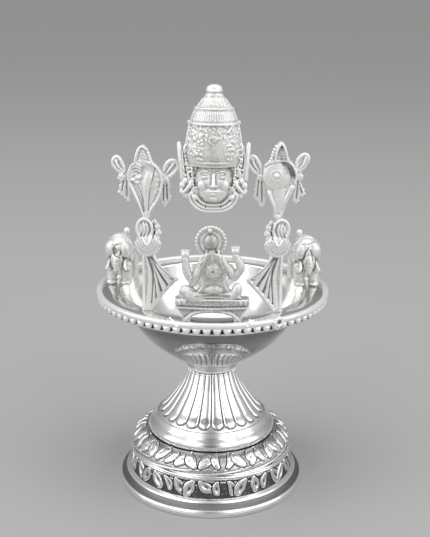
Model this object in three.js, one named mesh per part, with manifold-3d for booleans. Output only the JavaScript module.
// A silver deepam: a votive oil lamp with an embossed pedestal, an open bowl,
// and cast devotional figures soldered round the flange of the bowl.
// Millimetres, +Z up, -Y is the front, origin at the middle of the foot's underside.
import * as THREE from 'three';
import { mergeVertices } from 'three/addons/utils/BufferGeometryUtils.js';
import Module from 'manifold-3d';

const wasm = await Module();
wasm.setup();

// Metal, and the room that solder or a running nut needs
const SHEET = 0.8;
const SEAM = 0.3;

// Facets round the turned pieces, and round the small cast forms
const AROUND = 36;
const AROUND_SMALL = 8;

// Foot ring, up to the ledge under the lower band
const FOOT_R = 34.5;
const FOOT_REST_W = 2.2;
const FOOT_EDGE_H = 3.4;
const FOOT_COVE_H = 2.2;
const FOOT_COVE_IN = 2.7;
const FOOT_LEDGE_W = 1.2;

// Lower embossed band and the moulding on top of it
const LOWER_BAND_H = 6.8;
const LOWER_BAND_LEAN = 1.3;
const MOULDING_H = 1.4;
const MOULDING_PROUD = 0.7;

// Upper embossed dome
const DOME_H = 6.1;
const DOME_OVERHANG = 0.4;
const DOME_SHOULDER_W = 6.2;

// Polished shoulder ring
const SHOULDER_H = 4.7;
const SHOULDER_LAND_W = 1.1;
const SHOULDER_TOP_IN = 1.9;

// Fluted stem
const STEM_H = 19.6;
const STEM_TOP_R = 9.0;
const STEM_WAIST = 0.32;
const STEM_PLATE = 1.2;
const FLUTES = 24;
const FLUTE_PROUD = 0.5;
const FLUTE_FOOT_H = 2.5;
const FLUTE_ROUND_H = 1.0;
const FLUTE_HEAD_H = 0.8;

// Neck ring
const NECK_RING_H = 0.8;
const NECK_RING_PROUD = 0.5;

// Bowl and flange
const BOWL_SEAT_R = 8.9;
const BOWL_DEPTH = 28.9;
// How far out and how far up the wall has come at each station, as shares of its width and depth
const BOWL_WALL = [
  [0, 0], [0.06, 0.06], [0.24, 0.165], [0.5, 0.33], [0.73, 0.54], [0.9, 0.76], [1, 1],
];
const FLANGE_INNER_R = 32.8;
const FLANGE_FLAT_W = 7.3;
const LIP_W = 1.9;
const LIP_H = 0.7;
const LIP_SKIRT_H = 1.1;
const LIP_SKIRT_W = 0.45;

// Bead gallery under the flange
const BEADS = 76;
const BEAD_R = 1.35;
const GALLERY_WEB_W = 1.2;
const GALLERY_H = 2.7;
const GALLERY_WIRE_H = 0.6;

// Stud, washer and nut that hold the bowl on the stem
const STUD_R = 2.0;
const STUD_TAIL = 1.5;
const WASHER_R = 4.4;
const WASHER_H = 0.6;
const NUT_FLATS = 7.0;
const NUT_H = 2.6;

// Seated figure and its arched seat
const SEAT_H = 8.0;
const SEAT_DEPTH = 5.0;
const SEAT_HALF_W = 12.3;
const SEAT_FOOT_HALF_W = 9.9;
const SEAT_FOOT_W = 2.6;
const SEAT_ARCH_H = 2.5;
const FIGURE_H = 24.8;
const HALO_R = 5.0;
const HALO_T = 1.2;
const HALO_LOBES = 22;
const TAB_W = 1.8;
const TAB_T = 0.6;

// Columns: a pleated fan, a flower knot, an emblem and its ribbon bow
const COLUMN_ANGLE = 39.6;
const COLUMN_INSET = 1.9;
const FAN_H = 19.7;
const FAN_NECK_W = 4.0;
const FAN_REACH = 10.8;
const FAN_CORNER_H = 11.1;
const FAN_FOOT_W = 3.2;
const FAN_T = 1.5;
const FAN_PLEATS = 6;
const FAN_PLEAT_DEPTH = 0.7;
const KNOT_H = 12.6;
const KNOT_W = 9.2;
const KNOT_DEPTH = 7.0;
const EMBLEM_H = 24.6;
const EMBLEM_BODY_H = 18.6;
const EMBLEM_HALF_W = 5.7;
const EMBLEM_STEM_W = 2.8;
const EMBLEM_FLAT = 0.46;
const CREST_R = 3.3;
const CREST_RIDGES = 4;
const DISC_R = 5.0;
const BOW_T = 1.8;
const BOW_OUTER_REACH = 10.9;
const BOW_LOOP_W = 4.2;
const BOW_RISE = 13.4;
const BOW_TAIL_L = 8.2;
const BOW_LEAN = 0.62;
const LOOP_SINK = 0.9;
const LOOP_SPARE = 0.2;

// Crowned head between the two bows
const HEAD_CHIN_ABOVE_FLANGE = 35.2;
const HEAD_H = 16.4;
const HEAD_HALF_W = 8.2;
const HEAD_HALF_DEPTH = 6.6;
const HEAD_SIDE_W = 10.6;
const CROWN_H = 24.0;
const CROWN_HALF_W = 9.0;
const CROWN_DEPTH_SHARE = 0.8;
const CROWN_RIBS = 20;

// Elephants on the flange
const ELEPHANT_INSET = 2.6;
const ELEPHANT_TURN = 11;
const ELEPHANT_H = 20.0;
const ELEPHANT_W = 10.6;
const ELEPHANT_L = 18.5;

// Rosette on the rim in front of the right-hand column
const ROSETTE_R = 2.6;
const ROSETTE_T = 0.9;
const ROSETTE_PETALS = 6;

// How far the blocks that cut other bodies reach past them
const FAR = 80;

// Radii and heights that follow from the sizes above
const coveR = FOOT_R - FOOT_COVE_IN;
const lowerBandR = coveR - FOOT_LEDGE_W;
const lowerBandTopR = lowerBandR - LOWER_BAND_LEAN;
const domeR = lowerBandTopR + DOME_OVERHANG;
const domeTopR = domeR - DOME_SHOULDER_W;
const shoulderTopR = domeTopR - SHOULDER_TOP_IN;
const footTopZ = FOOT_EDGE_H + FOOT_COVE_H;
const lowerBandTopZ = footTopZ + LOWER_BAND_H;
const mouldingTopZ = lowerBandTopZ + MOULDING_H;
const domeTopZ = mouldingTopZ + DOME_H;
const shoulderTopZ = domeTopZ + SHOULDER_H;
const stemTopZ = shoulderTopZ + STEM_H;
const neckTopZ = stemTopZ + NECK_RING_H;
const bowlTopZ = neckTopZ + BOWL_DEPTH;
const flangeTopZ = bowlTopZ + SHEET;
const bowlR = FLANGE_INNER_R + SHEET;
const flangeFlatR = FLANGE_INNER_R + FLANGE_FLAT_W;
const lipOuterR = flangeFlatR + LIP_W;
const flangeR = lipOuterR - LIP_SKIRT_W - SEAM;
const beadRingR = lipOuterR - BEAD_R;
const galleryR = beadRingR - GALLERY_WEB_W;
const galleryBottomZ = bowlTopZ - GALLERY_H;

const seatTopZ = flangeTopZ + SEAT_H;
const seatFrontR = Math.sqrt((flangeFlatR - SEAM) ** 2 - SEAT_FOOT_HALF_W ** 2);
const seatY = SEAT_DEPTH / 2 - seatFrontR;
const columnR = FLANGE_INNER_R + COLUMN_INSET;
const columnX = columnR * Math.sin(THREE.MathUtils.degToRad(COLUMN_ANGLE));
const columnY = -columnR * Math.cos(THREE.MathUtils.degToRad(COLUMN_ANGLE));
const fanTopZ = flangeTopZ + FAN_H;
const knotTopZ = fanTopZ + KNOT_H;
const chinZ = flangeTopZ + HEAD_CHIN_ABOVE_FLANGE;

// Finishes, as the photograph shows them
const polished = { color: 0xd9dbdc, metalness: 1, roughness: 0.14 };
const frosted = { color: 0xdcdcda, metalness: 1, roughness: 0.42 };
const oxidised = { color: 0x8e9090, metalness: 1, roughness: 0.38 };
const steel = { color: 0x9a9c9e, metalness: 1, roughness: 0.35 };

const lamp = new THREE.Group();

function add(name, geometry, finish, parent = lamp) {
  const mesh = new THREE.Mesh(geometry, new THREE.MeshStandardMaterial(finish));
  mesh.name = name;
  parent.add(mesh);
  return mesh;
}

// Turned, extruded and joined forms

// The outline runs up the outside and down the inside, as [radius, height] pairs.
function turned(outline, around = AROUND) {
  const points = outline.map(([r, z]) => new THREE.Vector2(r, z));
  if (outline[0][0] > 0) points.push(points[0].clone());
  return new THREE.LatheGeometry(points, around).rotateX(Math.PI / 2);
}

function curve(pairs, steps) {
  const spline = new THREE.SplineCurve(pairs.map(([a, b]) => new THREE.Vector2(a, b)));
  return spline.getPoints(steps).map((p) => [p.x, p.y]);
}

function solidOf(geometry) {
  const bare = geometry.index ? geometry.toNonIndexed() : geometry.clone();
  bare.deleteAttribute('normal');
  bare.deleteAttribute('uv');
  const merged = mergeVertices(bare, 1e-4);
  const index = merged.index.array;
  const triangles = [];
  for (let i = 0; i < index.length; i += 3) {
    const [a, b, c] = [index[i], index[i + 1], index[i + 2]];
    if (a !== b && b !== c && c !== a) triangles.push(a, b, c);
  }
  const mesh = new wasm.Mesh({
    numProp: 3,
    vertProperties: Float32Array.from(merged.attributes.position.array),
    triVerts: Uint32Array.from(triangles),
  });
  return new wasm.Manifold(mesh);
}

function geometryOf(solid) {
  const mesh = solid.getMesh();
  const geometry = new THREE.BufferGeometry();
  geometry.setAttribute('position', new THREE.BufferAttribute(mesh.vertProperties, 3));
  geometry.setIndex(new THREE.BufferAttribute(mesh.triVerts, 1));
  geometry.computeVertexNormals();
  return geometry;
}

function joined(geometries) {
  return geometries.map(solidOf).reduce((whole, next) => whole.add(next));
}

function block(x0, x1, y0, y1, z0, z1) {
  const box = new THREE.BoxGeometry(x1 - x0, y1 - y0, z1 - z0);
  return box.translate((x0 + x1) / 2, (y0 + y1) / 2, (z0 + z1) / 2);
}

// An egg-shaped lump, with its poles up and down.
function lump(rx, ry, rz, x, y, z, around = AROUND_SMALL, down = 5) {
  const ball = new THREE.SphereGeometry(1, around, down).rotateX(Math.PI / 2);
  return ball.scale(rx, ry, rz).translate(x, y, z);
}

// A round-ended limb that tapers from one point to another.
function limb(from, to, r0, r1, around = 6) {
  const start = new THREE.Vector3(...from);
  const way = new THREE.Vector3(...to).sub(start);
  const length = way.length();
  const outline = [[0, -0.7 * r0], [r0, 0], [r1, length], [0, length + 0.7 * r1]];
  const up = new THREE.Vector3(0, 1, 0);
  const turn = new THREE.Quaternion().setFromUnitVectors(up, way.normalize());
  const points = outline.map(([r, z]) => new THREE.Vector2(r, z));
  const capsule = new THREE.LatheGeometry(points, around).applyQuaternion(turn);
  return capsule.translate(start.x, start.y, start.z);
}

// A plate cut to an outline in the X-Z plane, from the front face back to another.
function plate(shape, yFront, yBack, bevel = 0) {
  const options = {
    depth: yBack - yFront - 2 * bevel,
    bevelEnabled: bevel > 0,
    bevelThickness: bevel,
    bevelSize: bevel,
    bevelOffset: -bevel,
    bevelSegments: 1,
    curveSegments: 4,
  };
  const flat = new THREE.ExtrudeGeometry(shape, options).rotateX(Math.PI / 2);
  return flat.translate(0, yBack - bevel, 0);
}

function outlineShape(pairs) {
  return new THREE.Shape(pairs.map(([x, z]) => new THREE.Vector2(x, z)));
}

// A flower outline: a circle whose edge swells into petals.
function petalShape(radius, petals, depth, stepsEach = 4) {
  const steps = petals * stepsEach;
  const pairs = [];
  for (let i = 0; i < steps; i++) {
    const angle = (i / steps) * Math.PI * 2;
    const swell = Math.abs(Math.sin((angle * petals) / 2));
    const r = radius - depth * (1 - swell);
    pairs.push([r * Math.cos(angle), r * Math.sin(angle)]);
  }
  return outlineShape(pairs);
}

// A closed body made of equal rings of points, joined into a loop or capped at the ends.
function ringed(rings, looped) {
  const count = rings[0].length;
  const positions = rings.flat(2);
  const index = [];
  const spans = looped ? rings.length : rings.length - 1;
  for (let i = 0; i < spans; i++) {
    const here = i * count;
    const there = ((i + 1) % rings.length) * count;
    for (let j = 0; j < count; j++) {
      const k = (j + 1) % count;
      index.push(here + j, here + k, there + k, here + j, there + k, there + j);
    }
  }
  if (!looped) {
    const last = (rings.length - 1) * count;
    for (let j = 1; j < count - 1; j++) {
      index.push(0, j + 1, j);
      index.push(last, last + j, last + j + 1);
    }
  }
  const geometry = new THREE.BufferGeometry();
  geometry.setAttribute('position', new THREE.Float32BufferAttribute(positions, 3));
  geometry.setIndex(index);
  geometry.computeVertexNormals();
  return geometry;
}

// Pedestal

function footRing() {
  const inner = FOOT_R - FOOT_REST_W;
  const edge = [
    [FOOT_R, 0], [FOOT_R, FOOT_EDGE_H - 0.4], [FOOT_R - 0.6, FOOT_EDGE_H],
  ];
  const cove = [
    [FOOT_R - FOOT_COVE_IN * 0.75, FOOT_EDGE_H + FOOT_COVE_H * 0.25],
    [coveR, footTopZ],
  ];
  const inside = [
    [lowerBandR - SHEET, footTopZ],
    [lowerBandR - SHEET, footTopZ - SHEET],
    [inner, FOOT_EDGE_H - 1],
    [inner, 0],
  ];
  return turned([...edge, ...cove, ...inside]);
}

function lowerLeafBand() {
  const swell = 0.35;
  const midZ = (footTopZ + lowerBandTopZ) / 2;
  const midR = (lowerBandR + lowerBandTopR) / 2;
  return turned([
    [lowerBandR, footTopZ],
    [midR + swell, midZ],
    [lowerBandTopR, lowerBandTopZ],
    [lowerBandTopR - SHEET, lowerBandTopZ],
    [midR + swell - SHEET, midZ],
    [lowerBandR - SHEET, footTopZ],
  ]);
}

function bandMoulding() {
  const inner = lowerBandTopR - SHEET;
  const outer = lowerBandTopR + MOULDING_PROUD;
  const round = MOULDING_H * 0.25;
  return turned([
    [lowerBandTopR, lowerBandTopZ],
    [outer, lowerBandTopZ + round],
    [outer, mouldingTopZ - round],
    [lowerBandTopR, mouldingTopZ],
    [inner, mouldingTopZ],
    [inner, lowerBandTopZ],
  ]);
}

function upperLeafDome() {
  const outside = [];
  const inside = [];
  const steps = 4;
  for (let i = 0; i <= steps; i++) {
    const t = (i / steps) * (Math.PI / 2);
    const swell = Math.sin(t) ** 1.15;
    const rise = Math.sin(t);
    const drop = 1 - Math.cos(t);
    outside.push([domeR - DOME_SHOULDER_W * drop, mouldingTopZ + DOME_H * rise]);
    inside.push([
      domeR - SHEET - (DOME_SHOULDER_W + SHOULDER_LAND_W - SHEET) * drop,
      mouldingTopZ + (DOME_H - SHEET) * swell,
    ]);
  }
  const land = [[domeTopR - SHOULDER_LAND_W, domeTopZ]];
  return turned([...outside, ...land, ...inside.reverse()]);
}

function shoulderRing() {
  const inner = domeTopR - SHOULDER_LAND_W;
  const groove = shoulderTopR + 0.25;
  return turned([
    [domeTopR - 0.25, domeTopZ],
    [domeTopR, domeTopZ + SHOULDER_H * 0.2],
    [domeTopR, domeTopZ + SHOULDER_H * 0.5],
    [domeTopR - 0.6, domeTopZ + SHOULDER_H * 0.7],
    [groove, domeTopZ + SHOULDER_H * 0.8],
    [shoulderTopR, shoulderTopZ],
    [shoulderTopR - SHEET, shoulderTopZ],
    [inner, domeTopZ],
  ]);
}

// The stem narrows as it rises, and each flute is a convex tongue with a round tip.
function stemRadius(rise) {
  const flare = (1 - rise) ** (1 + STEM_WAIST) * (1 - STEM_WAIST * rise);
  return STEM_TOP_R + (shoulderTopR - STEM_TOP_R) * flare;
}

function flutedStem() {
  const perFlute = 4;
  const foot = FLUTE_FOOT_H / STEM_H;
  const round = FLUTE_ROUND_H / STEM_H;
  const head = 1 - FLUTE_HEAD_H / STEM_H;
  const span = head - foot - round;
  const rises = [0, foot, foot + round, foot + round + span * 0.3, foot + round + span * 0.65, head, 1];
  const outside = rises.map((rise) => {
    const ring = [];
    for (let i = 0; i < FLUTES * perFlute; i++) {
      const across = ((i % perFlute) - perFlute / 2) / (perFlute / 2);
      const tip = foot + round * Math.abs(across);
      const fluted = rise >= tip - 1e-6 && rise <= head + 1e-6;
      const narrowing = stemRadius(rise) / shoulderTopR;
      const proud = fluted ? FLUTE_PROUD * narrowing * Math.sqrt(1 - across ** 2) : 0;
      const angle = (i / (FLUTES * perFlute)) * Math.PI * 2;
      const r = stemRadius(rise) + proud;
      ring.push([r * Math.cos(angle), r * Math.sin(angle), shoulderTopZ + STEM_H * rise]);
    }
    return ring;
  });
  const body = ringed(outside, false);
  const roof = stemTopZ - STEM_PLATE;
  const bore = STUD_R + SEAM;
  const below = shoulderTopZ - 1;
  const steps = [0, 0.3, 0.6, 1];
  const wall = steps.map((step) => {
    const z = shoulderTopZ + (roof - shoulderTopZ) * step;
    return [stemRadius((z - shoulderTopZ) / STEM_H) - SHEET, z];
  });
  const hollow = [
    [0, below], [shoulderTopR - SHEET, below], ...wall, [bore, roof], [bore, stemTopZ + 1],
    [0, stemTopZ + 1],
  ];
  return geometryOf(solidOf(body).subtract(solidOf(turned(hollow, FLUTES))));
}

function neckRing() {
  const inner = STEM_TOP_R - 3;
  const round = NECK_RING_H * 0.3;
  return turned([
    [STEM_TOP_R, stemTopZ],
    [STEM_TOP_R + NECK_RING_PROUD, stemTopZ + round],
    [STEM_TOP_R + NECK_RING_PROUD, neckTopZ - round],
    [STEM_TOP_R, neckTopZ],
    [inner, neckTopZ],
    [inner, stemTopZ],
  ], FLUTES);
}

// Fixing inside the pedestal

function bowlStud() {
  const bottom = stemTopZ - STEM_PLATE - WASHER_H - NUT_H - STUD_TAIL;
  const point = 0.4;
  return turned([
    [0, bottom], [STUD_R - point, bottom], [STUD_R, bottom + point],
    [STUD_R, neckTopZ], [0, neckTopZ],
  ], 16);
}

function studWasher() {
  const top = stemTopZ - STEM_PLATE;
  const bore = STUD_R + SEAM;
  return turned([
    [WASHER_R, top - WASHER_H], [WASHER_R, top], [bore, top], [bore, top - WASHER_H],
  ], 16);
}

function studNut() {
  const top = stemTopZ - STEM_PLATE - WASHER_H;
  const sides = 6;
  const corners = [];
  for (let i = 0; i < sides; i++) {
    const angle = (i / sides) * Math.PI * 2;
    const reach = NUT_FLATS / 2 / Math.cos(Math.PI / sides);
    corners.push(new THREE.Vector2(reach * Math.cos(angle), reach * Math.sin(angle)));
  }
  const hexagon = new THREE.Shape(corners);
  const bore = new THREE.Path();
  bore.absarc(0, 0, STUD_R + SEAM, 0, Math.PI * 2, true);
  hexagon.holes.push(bore);
  const options = { depth: NUT_H, bevelEnabled: false, curveSegments: 12 };
  return new THREE.ExtrudeGeometry(hexagon, options).translate(0, 0, top - NUT_H);
}

// Bowl, flange and rim

// The wall rises from the flat floor over the neck, spreads, and steepens up to the flange.
function bowlWall(radius, depth) {
  return BOWL_WALL.map(([out, up]) => [
    BOWL_SEAT_R + (radius - BOWL_SEAT_R) * out, bowlTopZ - depth * (1 - up),
  ]);
}

function bowl() {
  const outside = bowlWall(bowlR, BOWL_DEPTH);
  const inside = bowlWall(FLANGE_INNER_R, BOWL_DEPTH - SHEET).reverse();
  return turned([[0, neckTopZ], ...outside, ...inside, [0, neckTopZ + SHEET]]);
}

function flange() {
  return turned([
    [flangeR, bowlTopZ], [flangeR, flangeTopZ],
    [FLANGE_INNER_R, flangeTopZ], [FLANGE_INNER_R, bowlTopZ],
  ]);
}

function rimLip() {
  const skirtZ = flangeTopZ - LIP_SKIRT_H;
  return turned([
    [lipOuterR - 0.1, skirtZ],
    [lipOuterR, flangeTopZ],
    [lipOuterR - LIP_W * 0.25, flangeTopZ + LIP_H * 0.8],
    [lipOuterR - LIP_W * 0.5, flangeTopZ + LIP_H],
    [lipOuterR - LIP_W * 0.8, flangeTopZ + LIP_H * 0.75],
    [flangeFlatR, flangeTopZ],
    [flangeR + SEAM, flangeTopZ],
    [flangeR + SEAM, skirtZ],
  ]);
}

function beadGallery() {
  const midZ = bowlTopZ - BEAD_R - 0.1;
  const stations = BEADS * 2;
  const rings = [];
  for (let i = 0; i < stations; i++) {
    const angle = (i / stations) * Math.PI * 2;
    const bead = i % 2 === 0 ? BEAD_R : BEAD_R * 0.25;
    const section = [
      [galleryR, galleryBottomZ],
      [beadRingR + bead, midZ - bead * 0.5],
      [beadRingR + bead, midZ + bead * 0.5],
      [galleryR, bowlTopZ],
    ];
    rings.push(section.map(([r, z]) => [r * Math.cos(angle), r * Math.sin(angle), z]));
  }
  return ringed(rings.reverse(), true);
}

function galleryWire() {
  const bottom = galleryBottomZ - GALLERY_WIRE_H;
  const outer = galleryR + GALLERY_WIRE_H;
  return turned([
    [galleryR + 0.1, bottom], [outer, bottom + GALLERY_WIRE_H * 0.5],
    [galleryR + 0.1, galleryBottomZ], [galleryR - 0.5, galleryBottomZ],
    [galleryR - 0.5, bottom],
  ]);
}

// Seated figure, built round the middle of its seat with the seat's top at height 0

function seat() {
  const shape = outlineShape([
    [-SEAT_FOOT_HALF_W, 0],
    [-SEAT_FOOT_HALF_W - 0.5, SEAT_H * 0.2],
    [-SEAT_HALF_W, SEAT_H * 0.6],
    [-SEAT_HALF_W + 0.5, SEAT_H * 0.72],
    [-SEAT_HALF_W, SEAT_H * 0.93],
    [-SEAT_HALF_W + 0.8, SEAT_H],
    [SEAT_HALF_W - 0.8, SEAT_H],
    [SEAT_HALF_W, SEAT_H * 0.93],
    [SEAT_HALF_W - 0.5, SEAT_H * 0.72],
    [SEAT_HALF_W, SEAT_H * 0.6],
    [SEAT_FOOT_HALF_W + 0.5, SEAT_H * 0.2],
    [SEAT_FOOT_HALF_W, 0],
    [SEAT_FOOT_HALF_W - SEAT_FOOT_W, 0],
    [SEAT_FOOT_HALF_W - SEAT_FOOT_W - 1.2, SEAT_ARCH_H * 0.6],
    [SEAT_FOOT_HALF_W * 0.35, SEAT_ARCH_H * 0.95],
    [0, SEAT_ARCH_H],
    [-SEAT_FOOT_HALF_W * 0.35, SEAT_ARCH_H * 0.95],
    [-SEAT_FOOT_HALF_W + SEAT_FOOT_W + 1.2, SEAT_ARCH_H * 0.6],
    [-SEAT_FOOT_HALF_W + SEAT_FOOT_W, 0],
  ]);
  const body = plate(shape, -SEAT_DEPTH / 2, SEAT_DEPTH / 2);
  return body.translate(0, seatY, flangeTopZ);
}

function seatedFigure() {
  const s = FIGURE_H / 24.8;
  const haloZ = 18.6 * s;
  const halo = plate(petalShape(HALO_R * s, HALO_LOBES, 0.5, 2), 0, HALO_T);
  halo.translate(0, 0.6, haloZ);
  const parts = [
    lump(6.6, 3.0, 3.6, 0, 0, 2.0),
    lump(3.6, 2.4, 6.2, 0, 0, 7.0),
    lump(4.5, 2.3, 2.6, 0, 0, 10.8),
    lump(2.5, 2.6, 3.3, 0, -0.6, 17.6),
    limb([0, 0, 11], [0, -0.2, 15], 1.7, 1.5),
    lump(3.2, 3.0, 3.4, -8.0, -0.2, 1.2),
    lump(3.0, 2.8, 4.2, 7.6, 0, 1.4),
    limb([-4.0, 0, 11.4], [-6.4, 0.2, 5.2], 1.4, 1.2),
    limb([-6.4, 0.2, 5.2], [-9.0, -0.2, 12.6], 1.2, 0.9),
    limb([4.0, 0, 11.4], [7.0, 0.2, 6.4], 1.4, 1.2),
    limb([7.0, 0.2, 6.4], [8.4, -0.2, 13.6], 1.2, 0.9),
    lump(1.6, 1.4, 1.5, -9.0, -0.3, 14.2, 6, 4),
    lump(1.6, 1.4, 1.5, 7.9, -0.3, 15.4, 6, 4),
    limb([0, 0, 20.5], [0, 0.2, 23.8], 2.0, 0.7),
  ];
  for (const part of parts) part.scale(s, s, s);
  const below = block(-FAR, FAR, -FAR, FAR, -FAR, 0);
  const whole = joined([...parts, halo]).subtract(solidOf(below));
  return geometryOf(whole).translate(0, seatY, seatTopZ);
}

// A bent tab that holds a seat foot: it lies on the flange and hooks over the lip.
function seatTab(side) {
  const over = flangeTopZ + LIP_H + SEAM;
  const outer = lipOuterR + SEAM;
  const root = flangeFlatR - 1.3;
  const shape = outlineShape([
    [root, flangeTopZ],
    [flangeFlatR - 0.5, flangeTopZ],
    [flangeFlatR - 0.3, over],
    [outer, over],
    [outer, flangeTopZ - LIP_SKIRT_H],
    [outer + TAB_T, flangeTopZ - LIP_SKIRT_H],
    [outer + TAB_T, over + TAB_T * 0.5],
    [outer, over + TAB_T],
    [root, over + TAB_T],
  ]);
  const tab = plate(shape, -TAB_W / 2, TAB_W / 2);
  const reach = (SEAT_FOOT_HALF_W + SEAM + TAB_W) / (flangeFlatR - 1.3);
  return tab.rotateZ(-Math.PI / 2 + side * Math.asin(reach));
}

// Columns, built with the column's axis at X 0 and outward along +X

// A pleated fan hangs from its neck and spreads to a corner near the seat.
function fan(mirror) {
  const folds = FAN_PLEATS * 2;
  const rows = 4;
  const front = [];
  const back = [];
  for (let j = 0; j <= rows; j++) {
    const down = j / rows;
    for (let i = 0; i <= folds; i++) {
      const across = i / folds;
      const neckX = FAN_NECK_W * (0.5 - across);
      const footX = FAN_FOOT_W / 2 - across * (FAN_REACH + FAN_FOOT_W / 2);
      const footZ = across * FAN_CORNER_H;
      const hang = down ** (1 + across);
      const x = neckX + (footX - neckX) * hang;
      const z = FAN_H + (footZ - FAN_H) * down;
      const pleat = (i % 2) * FAN_PLEAT_DEPTH * (0.4 + 0.6 * down);
      front.push([x, -FAN_T / 2 - pleat, z]);
      back.push([x, FAN_T / 2 - pleat * 0.5, z]);
    }
  }
  const geometry = quilted(front, back, folds + 1, rows + 1);
  const foot = plate(outlineShape([
    [FAN_FOOT_W / 2, 0], [FAN_FOOT_W / 2, 1.8], [-FAN_FOOT_W / 2 - 0.4, 1.8],
    [-FAN_FOOT_W / 2, 0],
  ]), -FAN_T / 2 - 0.2, FAN_T / 2 + 0.2);
  const below = block(-FAR, FAR, -FAR, FAR, -FAR, 0);
  const whole = joined([geometry, foot]).subtract(solidOf(below));
  return placedColumn(geometryOf(whole), mirror, flangeTopZ);
}

// Two facing grids of points, closed round their four edges.
function quilted(front, back, columns, rows) {
  const positions = [...front, ...back].flat();
  const half = front.length;
  const index = [];
  const quad = (a, b, c, d) => index.push(a, b, c, a, c, d);
  const at = (i, j) => j * columns + i;
  for (let j = 0; j < rows - 1; j++) {
    for (let i = 0; i < columns - 1; i++) {
      quad(at(i, j), at(i + 1, j), at(i + 1, j + 1), at(i, j + 1));
      quad(half + at(i, j), half + at(i, j + 1), half + at(i + 1, j + 1), half + at(i + 1, j));
    }
  }
  for (let i = 0; i < columns - 1; i++) {
    const end = rows - 1;
    quad(at(i, 0), half + at(i, 0), half + at(i + 1, 0), at(i + 1, 0));
    quad(at(i, end), at(i + 1, end), half + at(i + 1, end), half + at(i, end));
  }
  for (let j = 0; j < rows - 1; j++) {
    const end = columns - 1;
    quad(at(0, j), at(0, j + 1), half + at(0, j + 1), half + at(0, j));
    quad(at(end, j), half + at(end, j), half + at(end, j + 1), at(end, j + 1));
  }
  const geometry = new THREE.BufferGeometry();
  geometry.setAttribute('position', new THREE.Float32BufferAttribute(positions, 3));
  geometry.setIndex(index);
  return geometry;
}

// Mirroring turns a body inside out, so its triangles are turned round again.
function placedColumn(geometry, mirror, z) {
  if (mirror) mirrored(geometry);
  return geometry.translate(mirror ? -columnX : columnX, columnY, z);
}

function mirrored(geometry) {
  geometry.scale(-1, 1, 1);
  const index = geometry.index.array;
  for (let i = 0; i < index.length; i += 3) {
    [index[i], index[i + 1]] = [index[i + 1], index[i]];
  }
  return geometry;
}

// A half-open bud sits in a cup of layered petals, with two small flowers beside it.
function flowerKnot(mirror) {
  const bud = KNOT_W * 0.38;
  const cup = KNOT_W * 0.44;
  const depth = KNOT_DEPTH / KNOT_W;
  const parts = [
    lump(cup, cup * depth, KNOT_H * 0.3, 0.2, 0, KNOT_H * 0.33, 8, 5),
    lump(bud, bud * depth, KNOT_H * 0.37, 0.3, -0.4, KNOT_H * 0.66, 8, 5),
    lump(bud * 0.6, bud * 0.5, KNOT_H * 0.26, 0.3, -1.6, KNOT_H * 0.7, 6, 4),
    lump(1.7, 1.5, 1.7, -KNOT_W * 0.44, -0.6, KNOT_H * 0.6, 6, 4),
    lump(1.6, 1.4, 1.6, -KNOT_W * 0.42, -0.6, KNOT_H * 0.3, 6, 4),
    limb([0, 0, 0], [0, 0, KNOT_H], 1.9, 1.5, 5),
  ];
  const petals = 3;
  for (let i = 0; i < petals; i++) {
    const angle = Math.PI * (i / (petals - 1));
    const x = 0.2 + cup * 0.75 * Math.cos(angle);
    const y = -cup * depth * 0.75 * Math.sin(angle);
    parts.push(lump(1.5, 1.3, KNOT_H * 0.22, x, y, KNOT_H * 0.36, 6, 4));
  }
  const below = block(-FAR, FAR, -FAR, FAR, -FAR, 0);
  const above = block(-FAR, FAR, -FAR, FAR, KNOT_H, FAR);
  const whole = joined(parts).subtract(solidOf(below)).subtract(solidOf(above));
  return placedColumn(geometryOf(whole), mirror, fanTopZ);
}

// The body that both emblems share: a stem that flares to shoulders under a ridged crest.
function emblemBody() {
  const w = EMBLEM_HALF_W;
  const h = EMBLEM_BODY_H;
  const stem = EMBLEM_STEM_W / 2;
  const side = curve([
    [stem, 0], [stem * 1.1, h * 0.13], [w * 0.56, h * 0.32], [w * 0.84, h * 0.48],
    [w, h * 0.68], [w, h * 0.81], [w * 0.8, h * 0.94], [CREST_R * 0.9, h],
  ], 6);
  const crest = [];
  const crestH = EMBLEM_H - h;
  for (let i = 0; i < CREST_RIDGES; i++) {
    const low = i / CREST_RIDGES;
    const r = CREST_R * (1 - low ** 1.5 * 0.82);
    crest.push([r, h + crestH * (low + 0.3 / CREST_RIDGES)]);
    crest.push([r * 0.84, h + crestH * (low + 0.95 / CREST_RIDGES)]);
  }
  const outline = [[0, 0], ...side, ...crest, [0, EMBLEM_H]];
  return turned(outline, 12).scale(1, EMBLEM_FLAT, 1);
}

// The emblem's back is cut flat, and the ribbon bow lies against it.
const emblemBackY = EMBLEM_HALF_W * EMBLEM_FLAT * 0.35;
const bowBackY = emblemBackY + BOW_T;

function emblem(extras, mirror) {
  const behind = block(-FAR, FAR, emblemBackY, FAR, -FAR, FAR);
  const below = block(-FAR, FAR, -FAR, FAR, -FAR, 0);
  const body = joined([emblemBody(), ...extras]);
  const whole = body.subtract(solidOf(behind)).subtract(solidOf(below));
  return placedColumn(geometryOf(whole), mirror, knotTopZ);
}

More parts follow.
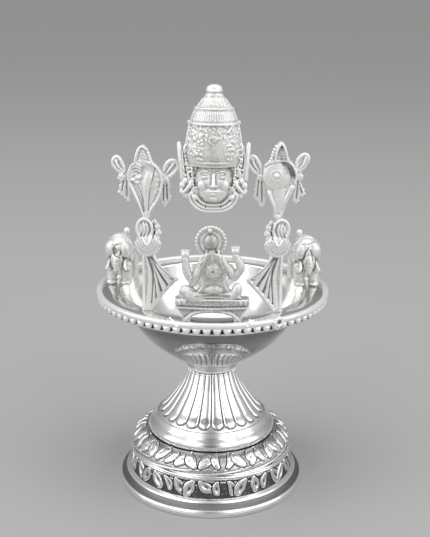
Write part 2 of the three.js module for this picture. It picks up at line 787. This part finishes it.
// The conch's whorl winds in at the outer shoulder, and a rolled lip runs down to the stem.
function conchEmblem() {
  const parts = [];
  const whorls = 4;
  for (let i = 0; i < whorls; i++) {
    const size = 2.3 * 0.74 ** i;
    const angle = 2.4 + i * 0.9;
    const x = EMBLEM_HALF_W * 0.35 - 2.2 * 0.7 ** i * Math.cos(angle);
    const z = EMBLEM_BODY_H * 0.84 + 1.6 * 0.7 ** i * Math.sin(angle);
    parts.push(lump(size, 1.2, size * 0.8, x, -1.9 - 0.25 * i, z, 6, 4));
  }
  const bottom = [0, -0.4, EMBLEM_BODY_H * 0.12];
  const top = [-EMBLEM_HALF_W * 0.62, -1.7, EMBLEM_BODY_H * 0.82];
  parts.push(limb(bottom, top, 0.7, 1.0));
  return emblem(parts, true);
}

// The disc stands proud of the body, with a round boss at its centre.
function discEmblem() {
  const centreZ = EMBLEM_BODY_H * 0.78;
  const disc = new THREE.CylinderGeometry(DISC_R, DISC_R, 1.2, 20);
  disc.translate(0, -2.4, centreZ);
  const boss = lump(1.9, 1.0, 1.9, 0, -3.1, centreZ);
  return emblem([disc, boss], false);
}

// A ribbon loop of unit size, with a rolled edge round a thinner middle.
function paddedLoop() {
  const rolled = [
    [0, -0.45], [0.55, -0.45], [0.8, -1], [1, 0], [0.8, 1], [0.55, 0.45], [0, 0.45],
  ];
  return turned(rolled, 10).rotateX(Math.PI / 2);
}

// How far a leaning loop runs sideways from its own middle, so that its rounded end comes to
// the reach while its root stays sunk in the knot. It solves a right triangle of the two runs.
function loopRun(reach) {
  const half = (BOW_LOOP_W / 2) * Math.cos(BOW_LEAN);
  const a = 1 - LOOP_SINK ** 2;
  const b = 2 * reach * LOOP_SINK;
  const c = half ** 2 - reach ** 2;
  return (-b + Math.sqrt(b ** 2 - 4 * a * c)) / (2 * a) + LOOP_SPARE;
}

// A ribbon bow behind the emblem: two padded loops, their knots and four tails.
function ribbonBow(mirror) {
  const front = emblemBackY;
  const back = bowBackY;
  const mid = (front + back) / 2;
  const knotX = EMBLEM_HALF_W + 0.7;
  const innerReach = columnX - HEAD_SIDE_W - SEAM;
  const parts = [
    block(-knotX, knotX, front, back, BOW_RISE - 1.2, BOW_RISE + 1.2),
  ];
  for (const [side, reach] of [[1, BOW_OUTER_REACH], [-1, innerReach]]) {
    const run = loopRun(reach - knotX);
    const long = run / Math.sin(BOW_LEAN);
    const loop = paddedLoop().scale(BOW_LOOP_W / 2, BOW_T / 2, long).rotateY(side * BOW_LEAN);
    const loopZ = BOW_RISE + long * Math.cos(BOW_LEAN) * LOOP_SINK;
    parts.push(loop.translate(side * (knotX + run * LOOP_SINK), mid, loopZ));
    parts.push(lump(1.3, BOW_T / 2 + 0.4, 1.2, side * knotX, mid, BOW_RISE, 6, 4));
    for (const [lean, share] of [[0.42, 0.82], [0.08, 1]]) {
      const length = BOW_TAIL_L * share;
      const x = side * (knotX + length * Math.sin(lean) - 0.3);
      const end = [x, mid, BOW_RISE - length * Math.cos(lean)];
      parts.push(limb([side * knotX, mid, BOW_RISE], end, 0.75, 1.05, 5));
    }
  }
  const whole = joined(parts);
  const ahead = block(-knotX + 1, knotX - 1, -FAR, front, -FAR, FAR);
  const reachLimit = block(-FAR, -innerReach, -FAR, FAR, -FAR, FAR);
  const cut = whole.subtract(solidOf(ahead)).subtract(solidOf(reachLimit));
  return placedColumn(geometryOf(cut), mirror, knotTopZ);
}

// The crown rises in tiers: a studded field, a beaded line, a ribbed tier and a knob.
function crown(baseZ) {
  const h = CROWN_H;
  const w = CROWN_HALF_W;
  const tiers = [
    [0, -2], [w * 0.8, -2], [w * 0.92, 0], [w, h * 0.12], [w * 0.96, h * 0.3], [w * 0.86, h * 0.48],
    [w * 0.9, h * 0.5], [w * 0.8, h * 0.58], [w * 0.66, h * 0.7],
    [w * 0.6, h * 0.71], [w * 0.47, h * 0.79], [w * 0.31, h * 0.86],
    [w * 0.27, h * 0.95], [w * 0.16, h * 0.99], [0, h],
  ];
  return turned(tiers, CROWN_RIBS).scale(1, CROWN_DEPTH_SHARE, 1).translate(0, 0, baseZ);
}

// One cast piece: face, garland collar, ears with pendants, side straps and crown.
function crownedHead() {
  const w = HEAD_HALF_W;
  const d = HEAD_HALF_DEPTH;
  const h = HEAD_H;
  const parts = [
    lump(w * 0.93, d, h * 0.62, 0, 0, h * 0.56, 12, 7),
    lump(w, d * 0.95, h * 0.4, 0, 0, h * 0.4, 12, 5),
    lump(w * 0.86, d * 0.55, h * 0.17, 0, -d * 0.5, h * 0.2, 8, 4),
    limb([0, -d * 0.9, h * 0.62], [0, -d * 1.08, h * 0.44], 0.5, 0.95, 5),
  ];
  for (const side of [-1, 1]) {
    const strap = HEAD_SIDE_W - 1.1;
    const ends = [side * w * 0.8, side * HEAD_SIDE_W].sort((a, b) => a - b);
    parts.push(block(...ends, emblemBackY, bowBackY, h * 0.68, h * 1.29));
    parts.push(lump(2.1, 1.7, 2.4, side * (strap - 0.9), -1.2, h * 0.33, 6, 4));
    parts.push(lump(1.5, 0.8, h * 0.16, side * w * 0.86, -1.8, h * 0.62, 6, 4));
    parts.push(lump(1.0, 0.9, 0.5, side * w * 0.36, -d * 0.86, h * 0.66, 6, 4));
  }
  parts.push(crown(h));
  const leftSide = block(-FAR, -HEAD_SIDE_W, -FAR, FAR, -FAR, FAR);
  const rightSide = block(HEAD_SIDE_W, FAR, -FAR, FAR, -FAR, FAR);
  const whole = joined(parts).subtract(solidOf(leftSide)).subtract(solidOf(rightSide));
  return geometryOf(whole).translate(0, columnY, chinZ);
}

// An elephant standing on the flange with its trunk down, facing the front

function elephant(mirror) {
  const h = ELEPHANT_H;
  const w = ELEPHANT_W;
  const l = ELEPHANT_L;
  const parts = [
    lump(w * 0.4, l * 0.36, h * 0.27, 0, l * 0.54, h * 0.5, 8, 5),
    lump(w * 0.36, l * 0.2, h * 0.24, 0, l * 0.14, h * 0.66, 8, 5),
    lump(w * 0.2, l * 0.14, h * 0.14, -w * 0.14, l * 0.08, h * 0.82, 6, 4),
    lump(w * 0.2, l * 0.14, h * 0.14, w * 0.14, l * 0.08, h * 0.82, 6, 4),
    limb([0, 0.6, h * 0.6], [0, -1.0, h * 0.3], 1.7, 1.25, 5),
    limb([0, -1.0, h * 0.3], [0, -0.6, h * 0.12], 1.25, 1.0, 5),
    limb([0, -0.6, h * 0.12], [0, -2.0, h * 0.1], 1.0, 0.85, 5),
    limb([0, l * 0.55, h * 0.72], [0, l * 0.55, h * 0.9], 2.2, 1.3, 5),
    lump(1.2, 1.2, 1.2, 0, l * 0.55, h - 1.2, 6, 4),
    limb([0, l * 0.8, h * 0.58], [0, l * 0.93, h * 0.25], 0.9, 0.5, 4),
  ];
  for (const side of [-1, 1]) {
    const tusk = side * w * 0.2;
    parts.push(lump(w * 0.12, l * 0.13, h * 0.19, side * w * 0.38, l * 0.2, h * 0.66, 6, 4));
    parts.push(limb([tusk, l * 0.1, h * 0.54], [tusk * 1.25, -1.8, h * 0.38], 0.9, 0.4, 4));
    for (const y of [l * 0.3, l * 0.76]) {
      parts.push(limb([side * w * 0.19, y, 1], [side * w * 0.2, y, h * 0.4], 1.55, 1.7, 5));
    }
  }
  const below = block(-FAR, FAR, -FAR, FAR, -FAR, 0);
  const whole = joined(parts).subtract(solidOf(below));
  const geometry = geometryOf(whole).rotateZ(THREE.MathUtils.degToRad(ELEPHANT_TURN));
  geometry.translate(FLANGE_INNER_R + ELEPHANT_INSET, 0, flangeTopZ);
  return mirror ? mirrored(geometry) : geometry;
}

function rosette() {
  const flower = plate(petalShape(ROSETTE_R, ROSETTE_PETALS, 0.8), -ROSETTE_T, 0);
  const boss = lump(0.9, 0.6, 0.9, 0, -ROSETTE_T, 0, 8, 5);
  const whole = geometryOf(joined([flower, boss]));
  whole.translate(0, -lipOuterR - SEAM, flangeTopZ - ROSETTE_R * 0.5);
  return whole.rotateZ(THREE.MathUtils.degToRad(COLUMN_ANGLE * 0.8));
}

// The lamp, from the foot upwards

const pedestal = new THREE.Group();
add('foot_ring', footRing(), polished, pedestal);
add('lower_leaf_band', lowerLeafBand(), oxidised, pedestal);
add('band_moulding', bandMoulding(), polished, pedestal);
add('upper_leaf_dome', upperLeafDome(), oxidised, pedestal);
add('shoulder_ring', shoulderRing(), polished, pedestal);
add('fluted_stem', flutedStem(), polished, pedestal);
add('neck_ring', neckRing(), polished, pedestal);
lamp.add(pedestal);

const fixing = new THREE.Group();
add('bowl_stud', bowlStud(), steel, fixing);
add('stud_washer', studWasher(), steel, fixing);
add('stud_nut', studNut(), steel, fixing);
lamp.add(fixing);

const vessel = new THREE.Group();
add('bowl', bowl(), polished, vessel);
add('bowl_flange', flange(), polished, vessel);
add('rim_lip', rimLip(), polished, vessel);
add('bead_gallery', beadGallery(), polished, vessel);
add('gallery_wire', galleryWire(), polished, vessel);
add('rim_rosette', rosette(), frosted, vessel);
lamp.add(vessel);

const figures = new THREE.Group();
add('lotus_seat', seat(), frosted, figures);
add('seated_figure', seatedFigure(), frosted, figures);
add('left_seat_tab', seatTab(-1), frosted, figures);
add('right_seat_tab', seatTab(1), frosted, figures);
add('left_fan', fan(true), frosted, figures);
add('right_fan', fan(false), frosted, figures);
add('left_flower_knot', flowerKnot(true), frosted, figures);
add('right_flower_knot', flowerKnot(false), frosted, figures);
add('conch_emblem', conchEmblem(), frosted, figures);
add('disc_emblem', discEmblem(), frosted, figures);
add('conch_bow', ribbonBow(true), frosted, figures);
add('disc_bow', ribbonBow(false), frosted, figures);
add('crowned_head', crownedHead(), frosted, figures);
add('left_elephant', elephant(true), frosted, figures);
add('right_elephant', elephant(false), frosted, figures);
lamp.add(figures);

export default lamp;
